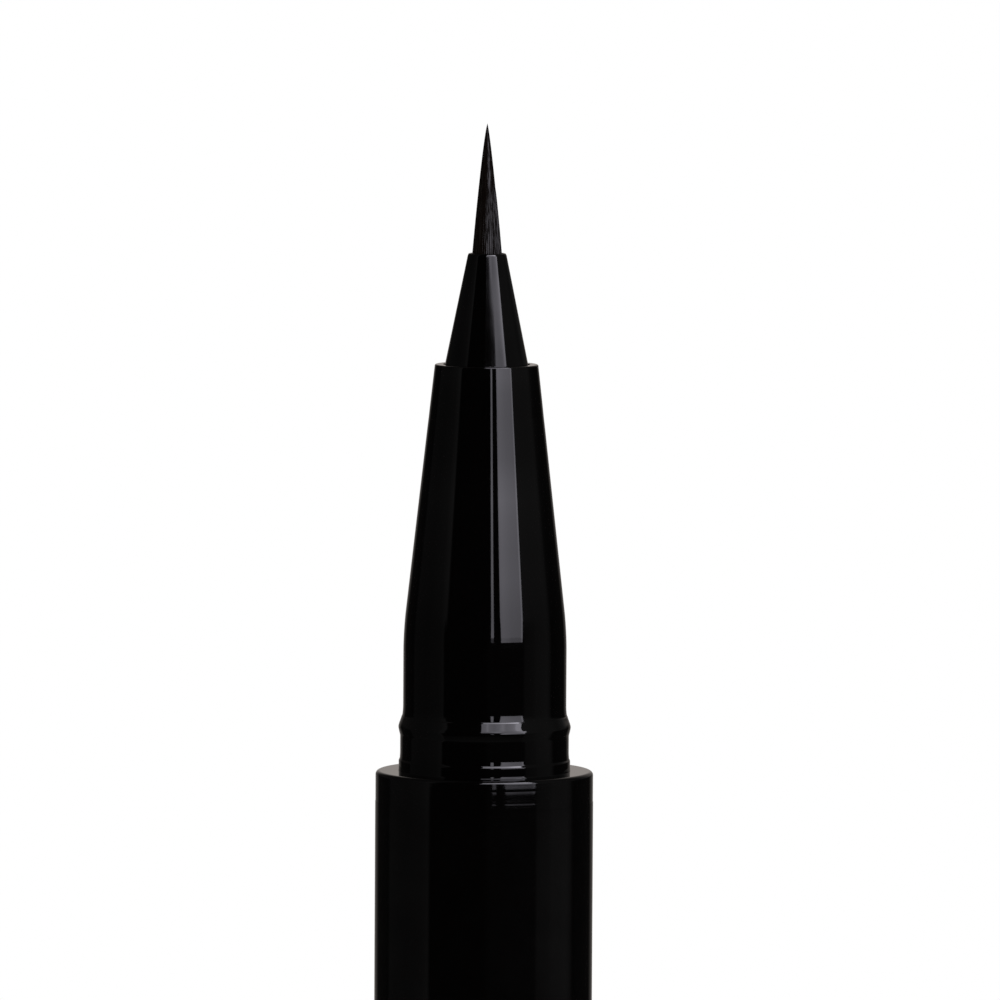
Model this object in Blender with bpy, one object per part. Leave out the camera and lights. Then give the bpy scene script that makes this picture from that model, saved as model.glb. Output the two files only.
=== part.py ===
"""Brush-tip brow pen, open, standing on its cap, which is pushed onto the tail.

Metres, +Z up. The pen's axis is Z, and the cap's closed end rests at height zero.
Nose pieces are drawn as heights above the front shoulder, tail pieces as heights above the
rear shoulder, and cap pieces as depths below the cap's mouth.
"""

import math

import bmesh
import bpy
from mathutils import Matrix, Vector

# Clearances
SEAT_GAP = 0.0001
SLIDE_GAP = 0.0001
CUT_OVERRUN = 0.001
MERGE_DISTANCE = 0.0000001

# Facets
BODY_SIDES = 40
SMALL_SIDES = 28
FIN_SIDES = 20
EDGE_STEPS = 2
RISE_STEPS = 2
BEAD_STEPS = 4
SHARP_ANGLE = math.radians(30)
MILLIMETRES_IN_A_METRE = 1000

# Barrel, and the collar ring that closes its mouth
BODY_LENGTH = 0.0940
BARREL_DIAMETER = 0.0108
BARREL_WALL = 0.0011
BARREL_EDGE = 0.00015
COLLAR_INSET = 0.00001
COLLAR_HEIGHT = 0.00152
COLLAR_LIP_WALL = 0.0006
COLLAR_LIP_DEPTH = 0.0020
COLLAR_EDGE = 0.00018

# Snap land, the same on the nose and on the tail, so that the cap fits both
CAP_WALL = 0.001035
FLANGE_HEIGHT = 0.00050
FLANGE_RISE = 0.00036
FLANGE_INSET = 0.00001
FLANGE_SEAT = 0.000155
NECK_LENGTH = 0.00092
NECK_DEPTH = 0.00009
BEAD_BACK = 0.00041
BEAD_RAMP = 0.00107
LAND_INSET = 0.000225

# Front section
SECTION_LENGTH = 0.02015
SECTION_STRAIGHT = 0.00358
SECTION_BLEND = 0.0170
SECTION_BORE_DEPTH = 0.0124
MOUTH_WALL = 0.0004
MOUTH_EDGE = 0.00005
SPIGOT_LENGTH = 0.0080
SPIGOT_WALL = 0.00025

# Tip cone that holds the brush
TIP_EXPOSED = 0.00549
TIP_RIM = 0.000115
TIP_TOP_EDGE = 0.00010
TIP_FLANGE_REACH = 0.000695
TIP_FLANGE_HEIGHT = 0.0010
BRUSH_HOLD_DEPTH = 0.0022

# Brush
BRUSH_DIAMETER = 0.00145
BRUSH_EXPOSED = 0.00641
BRUSH_ROOT_SINK = 0.00030
BRUSH_HEAD_REACH = 0.000225
BRUSH_HEAD_HEIGHT = 0.0006
BRISTLE_COUNT = 310
BRISTLE_SIDES = 3
BRISTLE_FILL_SHARE = 0.44
BRISTLE_ROOT_BITE = 0.00008
KNEE_HEIGHT_SHARE = 0.55
KNEE_SPREAD_SHARE = 0.54
TIP_SPREAD_SHARE = 0.15
KNEE_THICKNESS_SHARE = 0.90
OUTER_SHORTER_SHARE = 0.30
UNEVEN_SHARE = 0.035
GOLDEN_ANGLE = math.pi * (3 - math.sqrt(5))

# Ink feed and its comb
FEED_DIAMETER = 0.0016
FEED_CHANNELS = 8
FEED_CHANNEL_DEPTH = 0.00014
FEED_TAIL = 0.0010
COMB_CORE_WALL = 0.00055
COMB_END_LENGTH = 0.0014
COMB_FIN_COUNT = 13
COMB_FIN_SHARE = 0.45
INK_SLOT_WIDTH = 0.00030
AIR_SLOT_WIDTH = 0.0010
AIR_SLOT_BITE = 0.00015

# Seal between the section's spigot and the tank
SEAL_GROOVE_DEPTH = 0.0005
SEAL_GROOVE_LENGTH = 0.0009
SEAL_FROM_SKIRT = 0.0030
SEAL_RING_POINTS = 8

# Ink tank, its stopper and the mixing ball
TANK_WALL = 0.0005
STOPPER_LENGTH = 0.0050
STOPPER_WALL = 0.0010
STOPPER_RIB_HEIGHT = 0.0002
STOPPER_RIB_LENGTH = 0.0006
STOPPER_RIB_COUNT = 3
BALL_DIAMETER = 0.0030
BALL_SIDES = 16

# Tail plug
PLUG_SKIRT_LENGTH = 0.0070
PLUG_WALL = 0.0010
PLUG_RIB_HEIGHT = 0.0002
PLUG_RIB_LENGTH = 0.0008
PLUG_RIB_COUNT = 2
PLUG_FLANGE_HEIGHT = 0.0010
PLUG_SPIGOT_LENGTH = 0.0060
PLUG_END_EDGE = 0.0005
PLUG_END_WALL = 0.0012

# Cap, and its sprung inner cap
CROWN_THICKNESS = 0.0015
CROWN_EDGE = 0.0008
CAP_MOUTH_EDGE = 0.00015
SNAP_RIDGE_HEIGHT = 0.00004
SNAP_RIDGE_LENGTH = 0.0005
INNER_CAP_DEPTH = 0.0110
INNER_CAP_WALL = 0.0004
INNER_CAP_END_WALL = 0.0006
INNER_CAP_FLANGE = 0.0008
INNER_CAP_TRAVEL = 0.0012
INNER_CAP_NARROWING = 0.00022
INNER_CAP_MOUTH_ROOM = 0.0006
INNER_CAP_EDGE = 0.00012
APEX_ROOM = 0.0010
RETAINER_REACH = 0.000265
RETAINER_HEIGHT = 0.0008
SPRING_LENGTH = 0.0045
SPRING_DIAMETER = 0.0050
SPRING_WIRE = 0.0004
SPRING_TURNS = 4
SPRING_POINTS = 10
SPRING_FLAT_TURN_SHARE = 0.25


def half(size):
    return size / 2


# Radii that follow, from the barrel inwards: cap and snap land, collar and skirt
BARREL_RADIUS = half(BARREL_DIAMETER)
CAP_BORE = BARREL_RADIUS - CAP_WALL
BEAD_RADIUS = CAP_BORE - SLIDE_GAP
FLANGE_RADIUS = BEAD_RADIUS - FLANGE_INSET
NECK_RADIUS = BEAD_RADIUS - NECK_DEPTH
LAND_RADIUS = BEAD_RADIUS - LAND_INSET
COLLAR_BORE = FLANGE_RADIUS - FLANGE_SEAT
COLLAR_LIP_RADIUS = COLLAR_BORE + COLLAR_LIP_WALL
SKIRT_RADIUS = COLLAR_BORE - SEAT_GAP

# Radii that follow, from the barrel's bore inwards: tank, spigot, tip cone and mouth
BARREL_BORE = BARREL_RADIUS - BARREL_WALL
TANK_OUTER = BARREL_BORE - SEAT_GAP
TANK_BORE = TANK_OUTER - TANK_WALL
SPIGOT_RADIUS = TANK_BORE - SEAT_GAP
GROOVE_RADIUS = SPIGOT_RADIUS - SEAL_GROOVE_DEPTH
SECTION_BORE = GROOVE_RADIUS - SPIGOT_WALL
TIP_FLANGE_RADIUS = SECTION_BORE - SEAT_GAP
TIP_BASE_RADIUS = TIP_FLANGE_RADIUS - TIP_FLANGE_REACH
MOUTH_BORE = TIP_BASE_RADIUS + SEAT_GAP
MOUTH_RADIUS = MOUTH_BORE + MOUTH_WALL

# Radii that follow, from the brush and the feed outwards
BRUSH_RADIUS = half(BRUSH_DIAMETER)
BRUSH_BORE = BRUSH_RADIUS + SEAT_GAP
TIP_TOP_RADIUS = BRUSH_BORE + TIP_RIM
BRUSH_HEAD_RADIUS = BRUSH_RADIUS + BRUSH_HEAD_REACH
COMB_BORE = half(FEED_DIAMETER) + SEAT_GAP
COMB_CORE_RADIUS = COMB_BORE + COMB_CORE_WALL

# Heights and depths that follow
SKIRT_LENGTH = COLLAR_HEIGHT + COLLAR_LIP_DEPTH + SEAT_GAP
SPIGOT_END = SKIRT_LENGTH + SPIGOT_LENGTH
NOSE_LENGTH = SECTION_LENGTH + TIP_EXPOSED + BRUSH_EXPOSED
NECK_BASE = FLANGE_HEIGHT + FLANGE_RISE
INNER_CAP_END_DEPTH = NOSE_LENGTH + APEX_ROOM + INNER_CAP_END_WALL
CAP_INNER_DEPTH = INNER_CAP_END_DEPTH + SPRING_LENGTH
CAP_LENGTH = CAP_INNER_DEPTH + CROWN_THICKNESS
REAR_SHOULDER = CAP_LENGTH + SEAT_GAP
FRONT_SHOULDER = REAR_SHOULDER + BODY_LENGTH
STOPPER_BASE = PLUG_SKIRT_LENGTH + SEAT_GAP
STOPPER_TOP = STOPPER_BASE + STOPPER_LENGTH


def clear_scene():
    for thing in list(bpy.data.objects):
        bpy.data.objects.remove(thing, do_unlink=True)


def finish(name, colour, roughness, metallic=0.0):
    """One Principled material."""
    made = bpy.data.materials.new(name)
    made.use_nodes = True
    shader = made.node_tree.nodes["Principled BSDF"]
    shader.inputs["Base Color"].default_value = (*colour, 1.0)
    shader.inputs["Roughness"].default_value = roughness
    shader.inputs["Metallic"].default_value = metallic
    return made


def place(name, data, material, parent, height=0.0):
    """Put a mesh or curve on the pen's axis, at a height above its parent."""
    piece = bpy.data.objects.new(name, data)
    bpy.context.collection.objects.link(piece)
    if material:
        data.materials.append(material)
    piece.parent = parent
    piece.location = (0, 0, height)
    return piece


def station(name, height):
    """An empty on the axis, from which a group of pieces is measured."""
    empty = bpy.data.objects.new(name, None)
    bpy.context.collection.objects.link(empty)
    empty.location = (0, 0, height)
    return empty


def as_guide(piece):
    piece.hide_render = True
    piece.display_type = "WIRE"
    return piece


def rounded(corners):
    """Outline points of corners given as (radius, height) or (radius, height, edge radius)."""
    points = []
    for index, corner in enumerate(corners):
        here = Vector(corner[:2])
        edge = corner[2] if len(corner) == 3 else 0
        if edge == 0:
            points.append(here)
            continue
        before = Vector(corners[index - 1][:2]) - here
        after = Vector(corners[(index + 1) % len(corners)][:2]) - here
        half_angle = half(before.angle(after))
        reach = min(edge / math.tan(half_angle), half(before.length), half(after.length))
        edge = reach * math.tan(half_angle)
        start = here + before.normalized() * reach
        end = here + after.normalized() * reach
        bisector = (before.normalized() + after.normalized()).normalized()
        centre = here + bisector * (edge / math.sin(half_angle))
        for step in range(EDGE_STEPS + 1):
            turn = (start - centre).slerp(end - centre, step / EDGE_STEPS)
            points.append(centre + turn.normalized() * edge)
    return points


def eased(start, end, steps):
    """Corners of a smooth ramp that leaves start and meets end along the axis."""
    corners = []
    for step in range(steps + 1):
        share = step / steps
        swell = half(1 - math.cos(math.pi * share))
        radius = start[0] + (end[0] - start[0]) * swell
        corners.append((radius, start[1] + (end[1] - start[1]) * share))
    return corners


def revolved(corners, sides):
    """A closed outline, in radius and height, spun into a mesh."""
    shape = bmesh.new()
    outline = [shape.verts.new((point.x, 0, point.y)) for point in rounded(corners)]
    edges = []
    for first, second in zip(outline, outline[1:] + outline[:1]):
        on_axis = first.co.x == 0 and second.co.x == 0
        if not on_axis:
            edges.append(shape.edges.new((first, second)))
    bmesh.ops.spin(
        shape, geom=outline + edges, cent=(0, 0, 0), axis=(0, 0, 1),
        angle=math.tau, steps=sides, use_merge=True,
    )
    bmesh.ops.remove_doubles(shape, verts=shape.verts, dist=MERGE_DISTANCE)
    bmesh.ops.recalc_face_normals(shape, faces=shape.faces)
    return shape


def as_mesh(name, shape, smooth=True):
    mesh = bpy.data.meshes.new(name)
    shape.to_mesh(mesh)
    shape.free()
    if smooth:
        mesh.shade_smooth()
        mesh.set_sharp_from_angle(angle=SHARP_ANGLE)
    return mesh


def turned(name, corners, material, parent, sides=BODY_SIDES):
    return place(name, as_mesh(name, revolved(corners, sides)), material, parent)


def boolean(piece, operand, operation):
    step = piece.modifiers.new(operation.lower(), "BOOLEAN")
    step.object = operand
    step.operation = operation
    step.solver = "EXACT"


def snap_land():
    """Corners from the flange over neck and snap bead, as (radius, distance from the shoulder)."""
    neck_top = NECK_BASE + NECK_LENGTH
    bead_peak = neck_top + BEAD_BACK
    bead_top = bead_peak + BEAD_RAMP
    corners = eased((FLANGE_RADIUS, FLANGE_HEIGHT), (NECK_RADIUS, NECK_BASE), RISE_STEPS)
    corners += eased((NECK_RADIUS, neck_top), (BEAD_RADIUS, bead_peak), BEAD_STEPS)
    corners += eased((BEAD_RADIUS, bead_peak), (LAND_RADIUS, bead_top), BEAD_STEPS)[1:]
    return corners


def cone_radius(distance):
    """The section's radius on its cone, at a distance from the shoulder."""
    cone_start = snap_land()[-1][1] + SECTION_STRAIGHT
    share = (distance - cone_start) / (SECTION_LENGTH - cone_start)
    return LAND_RADIUS + share * (MOUTH_RADIUS - LAND_RADIUS)


def front_section(material, nose):
    """Grip cone with its snap land, skirt and tank spigot; bored from behind."""
    land_corners = snap_land()
    cone_start = land_corners[-1][1] + SECTION_STRAIGHT
    groove_top = -SKIRT_LENGTH - SEAL_FROM_SKIRT
    groove_base = groove_top - SEAL_GROOVE_LENGTH
    corners = [
        (MOUTH_BORE, SECTION_LENGTH),
        (MOUTH_RADIUS, SECTION_LENGTH, MOUTH_EDGE),
        (LAND_RADIUS, cone_start, SECTION_BLEND),
    ]
    corners += land_corners[::-1]
    corners += [
        (FLANGE_RADIUS, SEAT_GAP),
        (SKIRT_RADIUS, SEAT_GAP),
        (SKIRT_RADIUS, -SKIRT_LENGTH),
        (SPIGOT_RADIUS, -SKIRT_LENGTH),
        (SPIGOT_RADIUS, groove_top),
        (GROOVE_RADIUS, groove_top),
        (GROOVE_RADIUS, groove_base),
        (SPIGOT_RADIUS, groove_base),
        (SPIGOT_RADIUS, -SPIGOT_END),
        (SECTION_BORE, -SPIGOT_END),
        (SECTION_BORE, SECTION_BORE_DEPTH),
        (MOUTH_BORE, SECTION_BORE_DEPTH),
    ]
    return turned("front_section", corners, material, nose)


def tip_cone(material, nose):
    """Small cone that carries the brush, held by a flange behind the section's mouth."""
    top = SECTION_LENGTH + TIP_EXPOSED
    flange_top = SECTION_BORE_DEPTH - SEAT_GAP
    flange_base = flange_top - TIP_FLANGE_HEIGHT
    head_bore = BRUSH_HEAD_RADIUS + SEAT_GAP
    corners = [
        (BRUSH_BORE, top),
        (TIP_TOP_RADIUS, top, TIP_TOP_EDGE),
        (TIP_BASE_RADIUS, SECTION_LENGTH),
        (TIP_BASE_RADIUS, flange_top),
        (TIP_FLANGE_RADIUS, flange_top),
        (TIP_FLANGE_RADIUS, flange_base),
        (head_bore, flange_base),
        (head_bore, top - BRUSH_HOLD_DEPTH),
        (BRUSH_BORE, top - BRUSH_HOLD_DEPTH),
    ]
    return turned("tip_cone", corners, material, nose, SMALL_SIDES)


def bristle(shape, root, length, thickness):
    """One bent needle: a prism to the knee and a point beyond it."""
    rings = []
    levels = (
        (-BRISTLE_ROOT_BITE, 1, thickness),
        (KNEE_HEIGHT_SHARE * brush_length(), KNEE_SPREAD_SHARE, thickness * KNEE_THICKNESS_SHARE),
    )
    heading = math.atan2(root.y, root.x)
    for height, spread, width in levels:
        ring = []
        for corner in range(BRISTLE_SIDES):
            angle = heading + math.tau * corner / BRISTLE_SIDES
            around = Vector((math.cos(angle), math.sin(angle), 0)) * width
            ring.append(shape.verts.new((root + around) * spread + Vector((0, 0, height))))
        rings.append(ring)
    beyond_knee = (length / brush_length() - KNEE_HEIGHT_SHARE) / (1 - KNEE_HEIGHT_SHARE)
    spread = KNEE_SPREAD_SHARE + (TIP_SPREAD_SHARE - KNEE_SPREAD_SHARE) * beyond_knee
    point = shape.verts.new(root * spread + Vector((0, 0, length)))
    shape.faces.new(rings[0][::-1])
    for corner in range(BRISTLE_SIDES):
        following = (corner + 1) % BRISTLE_SIDES
        low, high = rings
        shape.faces.new((low[corner], low[following], high[following], high[corner]))
        shape.faces.new((high[corner], high[following], point))


def brush_length():
    return BRUSH_EXPOSED + BRUSH_ROOT_SINK


def bristles():
    """All the needles, spread evenly over the root and drawn together towards the tip."""
    shape = bmesh.new()
    spacing = BRUSH_RADIUS * math.sqrt(math.pi / BRISTLE_COUNT)
    thickness = spacing * BRISTLE_FILL_SHARE
    reach = BRUSH_RADIUS - thickness
    for index in range(BRISTLE_COUNT):
        outward = math.sqrt((index + half(1)) / BRISTLE_COUNT)
        angle = index * GOLDEN_ANGLE
        root = Vector((math.cos(angle), math.sin(angle), 0)) * (reach * outward)
        uneven = UNEVEN_SHARE * half(1 - math.cos(index * index))
        length = brush_length() * (1 - OUTER_SHORTER_SHARE * outward ** 2 - uneven * outward)
        bristle(shape, root, length, thickness)
    return as_guide(place("bristle_guide", as_mesh("bristle_guide", shape, False), None, None))


def brush(material, nose):
    """Filaments fused to their root, whose head sits behind the tip cone's step."""
    root_top = SECTION_LENGTH + TIP_EXPOSED - BRUSH_ROOT_SINK
    step = SECTION_LENGTH + TIP_EXPOSED - BRUSH_HOLD_DEPTH - SEAT_GAP
    corners = [
        (0, root_top),
        (BRUSH_RADIUS, root_top),
        (BRUSH_RADIUS, step),
        (BRUSH_HEAD_RADIUS, step),
        (BRUSH_HEAD_RADIUS, step - BRUSH_HEAD_HEIGHT),
        (0, step - BRUSH_HEAD_HEIGHT),
    ]
    piece = turned("brush_bristles", corners, material, nose, SMALL_SIDES)
    strands = bristles()
    strands.parent = nose
    strands.location = (0, 0, root_top)
    boolean(piece, strands, "UNION")
    return piece


def feed_rod(material, nose):
    """Capillary rod with channels along it, from the brush's head into the ink."""
    top = (
        SECTION_LENGTH + TIP_EXPOSED - BRUSH_HOLD_DEPTH - BRUSH_HEAD_HEIGHT
        - SEAT_GAP - SEAT_GAP
    )
    length = top + SPIGOT_END + FEED_TAIL
    shape = bmesh.new()
    rim = []
    for index in range(2 * FEED_CHANNELS):
        angle = math.tau * index / (2 * FEED_CHANNELS)
        radius = half(FEED_DIAMETER) - FEED_CHANNEL_DEPTH * (index % 2)
        rim.append(shape.verts.new((math.cos(angle) * radius, math.sin(angle) * radius, 0)))
    face = shape.faces.new(rim)
    grown = bmesh.ops.extrude_face_region(shape, geom=[face])["geom"]
    lifted = [item for item in grown if isinstance(item, bmesh.types.BMVert)]
    bmesh.ops.translate(shape, verts=lifted, vec=(0, 0, length))
    bmesh.ops.recalc_face_normals(shape, faces=shape.faces)
    return place("feed_rod", as_mesh("feed_rod", shape, False), material, nose, top - length)


def ink_collector(material, nose):
    """Comb that takes up spare ink: thin fins on a bored core, slotted for ink and for air."""
    top = SECTION_BORE_DEPTH - SEAT_GAP - TIP_FLANGE_HEIGHT - SEAT_GAP
    base = -SPIGOT_END
    outer = SECTION_BORE - SEAT_GAP
    comb_top = top - COMB_END_LENGTH
    comb_length = comb_top - base - COMB_END_LENGTH
    pitch = comb_length / (COMB_FIN_COUNT + 1 - COMB_FIN_SHARE)
    fin = pitch * COMB_FIN_SHARE
    corners = [(COMB_BORE, top), (outer, top), (outer, comb_top)]
    for index in range(COMB_FIN_COUNT):
        fin_top = comb_top - pitch * (index + 1) + fin
        corners += [(COMB_CORE_RADIUS, fin_top + pitch - fin), (COMB_CORE_RADIUS, fin_top)]
        corners += [(outer, fin_top), (outer, fin_top - fin)]
    comb_base = base + COMB_END_LENGTH
    corners += [(COMB_CORE_RADIUS, corners[-1][1]), (COMB_CORE_RADIUS, comb_base)]
    corners += [(outer, comb_base), (outer, base), (COMB_BORE, base)]
    piece = turned("ink_collector", corners, material, nose, FIN_SIDES)

    shape = bmesh.new()
    length = top - base + CUT_OVERRUN
    air_floor = COMB_CORE_RADIUS - AIR_SLOT_BITE
    for side, width, depth in ((1, INK_SLOT_WIDTH, 0), (-1, AIR_SLOT_WIDTH, air_floor)):
        reach = outer + CUT_OVERRUN - depth
        size = Matrix.Diagonal((width, reach, length, 1))
        spot = Matrix.Translation((0, side * (depth + half(reach)), half(top + base)))
        bmesh.ops.create_cube(shape, size=1, matrix=spot @ size)
    cutter = place("comb_slot_guide", as_mesh("comb_slot_guide", shape, False), None, nose)
    boolean(piece, as_guide(cutter), "DIFFERENCE")
    return piece


def seal_ring(material, nose):
    """Ring in the spigot's groove, which seals the section to the tank."""
    thickness = min(TANK_BORE - GROOVE_RADIUS, SEAL_GROOVE_LENGTH) - SEAT_GAP - SEAT_GAP
    centre = half(TANK_BORE + GROOVE_RADIUS)
    height = -SKIRT_LENGTH - SEAL_FROM_SKIRT - half(SEAL_GROOVE_LENGTH)
    corners = []
    for index in range(SEAL_RING_POINTS):
        angle = -math.tau * index / SEAL_RING_POINTS
        radius = centre + math.cos(angle) * half(thickness)
        corners.append((radius, height + math.sin(angle) * half(thickness)))
    return turned("section_seal_ring", corners, material, nose, SMALL_SIDES)


def collar_ring(material, nose):
    """Flush ring at the barrel's mouth, pressed in by its lip."""
    outer = BARREL_RADIUS - COLLAR_INSET
    lip_base = -COLLAR_HEIGHT - COLLAR_LIP_DEPTH
    corners = [
        (COLLAR_BORE, 0),
        (outer, 0, COLLAR_EDGE),
        (outer, -COLLAR_HEIGHT),
        (COLLAR_LIP_RADIUS, -COLLAR_HEIGHT),
        (COLLAR_LIP_RADIUS, lip_base),
        (COLLAR_BORE, lip_base),
    ]
    return turned("collar_ring", corners, material, nose)


def barrel_sleeve(material, tail):
    """Outer tube between plug and collar, counterbored at the front for the collar's lip."""
    top = BODY_LENGTH - COLLAR_HEIGHT - SEAT_GAP
    base = PLUG_FLANGE_HEIGHT + SEAT_GAP
    counterbore = COLLAR_LIP_RADIUS + SEAT_GAP
    seat = top - COLLAR_LIP_DEPTH
    corners = [
        (counterbore, top),
        (BARREL_RADIUS, top),
        (BARREL_RADIUS, base),
        (BARREL_BORE, base),
        (BARREL_BORE, seat),
        (counterbore, seat),
    ]
    return turned("barrel_sleeve", corners, material, tail)


def ink_tank(material, tail):
    """Inner tube that holds the ink, from the tail plug up to the section's skirt."""
    top = BODY_LENGTH - SKIRT_LENGTH - SEAT_GAP
    corners = [
        (TANK_BORE, top),
        (TANK_OUTER, top),
        (TANK_OUTER, STOPPER_BASE),
        (TANK_BORE, STOPPER_BASE),
    ]
    return turned("ink_tank", corners, material, tail, SMALL_SIDES)


def ribs(outer, foot, rib_height, rib_length, count, low, high):
    """Corners of evenly spaced sealing ribs, walked downwards on a plug's outer wall."""
    corners = []
    pitch = (high - low) / count
    for index in range(count):
        centre = high - pitch * (index + half(1))
        rib_top = centre + half(rib_length)
        rib_base = centre - half(rib_length)
        corners += [(foot, rib_top), (outer, rib_top - half(rib_height))]
        corners += [(outer, rib_base + half(rib_height)), (foot, rib_base)]
    return corners


def tank_stopper(material, tail):
    """Ribbed plug in the tank's rear end, cored from behind."""
    outer = TANK_BORE - SEAT_GAP
    foot = outer - STOPPER_RIB_HEIGHT
    cored = foot - STOPPER_WALL
    corners = [(0, STOPPER_TOP), (foot, STOPPER_TOP)]
    corners += ribs(
        outer, foot, STOPPER_RIB_HEIGHT, STOPPER_RIB_LENGTH, STOPPER_RIB_COUNT,
        STOPPER_BASE, STOPPER_TOP,
    )
    corners += [
        (foot, STOPPER_BASE),
        (cored, STOPPER_BASE),
        (cored, STOPPER_TOP - STOPPER_WALL),
        (0, STOPPER_TOP - STOPPER_WALL),
    ]
    return turned("tank_stopper", corners, material, tail, SMALL_SIDES)


def mixing_ball(material, tail):
    """Loose steel ball that stirs the ink, at rest on the stopper."""
    shape = bmesh.new()
    bmesh.ops.create_uvsphere(
        shape, u_segments=BALL_SIDES, v_segments=BALL_SIDES // 2, radius=half(BALL_DIAMETER),
    )
    height = STOPPER_TOP + SEAT_GAP + half(BALL_DIAMETER)
    return place("mixing_ball", as_mesh("mixing_ball", shape), material, tail, height)


def tail_plug(material, tail):
    """Flanged plug that closes the barrel, with the nose's snap land turned down as a spigot."""
    outer = BARREL_BORE - SEAT_GAP
    foot = outer - PLUG_RIB_HEIGHT
    cored = foot - PLUG_WALL
    spigot_end = -PLUG_SPIGOT_LENGTH
    corners = [(cored, PLUG_SKIRT_LENGTH), (foot, PLUG_SKIRT_LENGTH)]
    corners += ribs(
        outer, foot, PLUG_RIB_HEIGHT, PLUG_RIB_LENGTH, PLUG_RIB_COUNT,
        PLUG_FLANGE_HEIGHT, PLUG_SKIRT_LENGTH,
    )
    corners += [
        (foot, PLUG_FLANGE_HEIGHT),
        (BARREL_RADIUS, PLUG_FLANGE_HEIGHT),
        (BARREL_RADIUS, 0, BARREL_EDGE),
        (FLANGE_RADIUS, 0),
    ]
    corners += [(radius, -distance) for radius, distance in snap_land()]
    corners += [
        (LAND_RADIUS, spigot_end, PLUG_END_EDGE),
        (0, spigot_end),
        (0, spigot_end + PLUG_END_WALL),
        (cored, spigot_end + PLUG_END_WALL),
    ]
    return turned("tail_plug", corners, material, tail, SMALL_SIDES)


def inner_cap_mouth():
    """Mouth radius that meets the section's cone a little before the cap is home."""
    return cone_radius(INNER_CAP_DEPTH + INNER_CAP_MOUTH_ROOM)


def inner_cap_body():
    """Outer radius just behind the inner cap's flange."""
    depth = INNER_CAP_FLANGE
    length = INNER_CAP_END_DEPTH - INNER_CAP_DEPTH - INNER_CAP_END_WALL
    return inner_cap_mouth() - INNER_CAP_NARROWING * depth / length + INNER_CAP_WALL


def outer_cap(material, cap):
    """Cap shell: a plain outside, a snap ridge, and a bore that traps the inner cap's flange."""
    retainer = CAP_BORE - RETAINER_REACH
    deep_bore = inner_cap_body() + SLIDE_GAP
    ridge = SEAT_GAP - NECK_BASE - half(NECK_LENGTH)
    retainer_base = -INNER_CAP_DEPTH + SEAT_GAP
    retainer_top = retainer_base + RETAINER_HEIGHT
    step = -INNER_CAP_DEPTH - INNER_CAP_FLANGE - INNER_CAP_TRAVEL - SEAT_GAP
    corners = [
        (CAP_BORE, 0, CAP_MOUTH_EDGE),
        (BARREL_RADIUS, 0, CAP_MOUTH_EDGE),
        (BARREL_RADIUS, -CAP_LENGTH, CROWN_EDGE),
        (0, -CAP_LENGTH),
        (0, -CAP_INNER_DEPTH),
        (deep_bore, -CAP_INNER_DEPTH),
        (deep_bore, step),
        (CAP_BORE, step),
        (CAP_BORE, retainer_base),
        (retainer, retainer_base),
        (retainer, half(retainer_base + retainer_top)),
        (CAP_BORE, retainer_top),
        (CAP_BORE, ridge - half(SNAP_RIDGE_LENGTH)),
        (CAP_BORE - SNAP_RIDGE_HEIGHT, ridge),
        (CAP_BORE, ridge + half(SNAP_RIDGE_LENGTH)),
    ]
    return turned("outer_cap", corners, material, cap)


def inner_cap(material, mouth):
    """Sprung cup that closes over the brush and seals on the section's cone."""
    lip = inner_cap_mouth()
    end_bore = lip - INNER_CAP_NARROWING
    flange = CAP_BORE - SLIDE_GAP
    end = INNER_CAP_DEPTH - INNER_CAP_END_DEPTH
    corners = [
        (lip, 0, INNER_CAP_EDGE),
        (flange, 0),
        (flange, -INNER_CAP_FLANGE),
        (inner_cap_body(), -INNER_CAP_FLANGE),
        (end_bore + INNER_CAP_WALL, end, INNER_CAP_EDGE),
        (0, end),
        (0, end + INNER_CAP_END_WALL),
        (end_bore, end + INNER_CAP_END_WALL),
    ]
    return turned("inner_cap", corners, material, mouth)


def inner_cap_spring(material, cap):
    """Open coil spring between the crown and the inner cap."""
    radius = half(SPRING_DIAMETER - SPRING_WIRE)
    rise = SPRING_LENGTH - SPRING_WIRE - SEAT_GAP - SEAT_GAP
    climbing_turns = SPRING_TURNS - 2 * SPRING_FLAT_TURN_SHARE
    points = []
    for index in range(SPRING_TURNS * SPRING_POINTS + 1):
        turn = index / SPRING_POINTS
        climbed = min(max(turn - SPRING_FLAT_TURN_SHARE, 0), climbing_turns)
        angle = math.tau * turn
        height = rise * climbed / climbing_turns
        points.append(Vector((math.cos(angle) * radius, math.sin(angle) * radius, height)))
    least = min(
        (first - second).length
        for index, first in enumerate(points)
        for second in points[index + SPRING_POINTS // 2:]
    )
    gap = (least - SPRING_WIRE) * MILLIMETRES_IN_A_METRE
    print(f"least gap between the spring's curls, mm: {gap:.3f}")
    coil = bpy.data.curves.new("inner_cap_spring", "CURVE")
    coil.dimensions = "3D"
    coil.bevel_depth = half(SPRING_WIRE)
    coil.bevel_resolution = 1
    coil.use_fill_caps = True
    line = coil.splines.new("POLY")
    line.points.add(len(points) - 1)
    for spot, point in zip(line.points, points):
        spot.co = (*point, 1)
    base = -CAP_INNER_DEPTH + SEAT_GAP + half(SPRING_WIRE)
    return place("inner_cap_spring", coil, material, cap, base)


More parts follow.
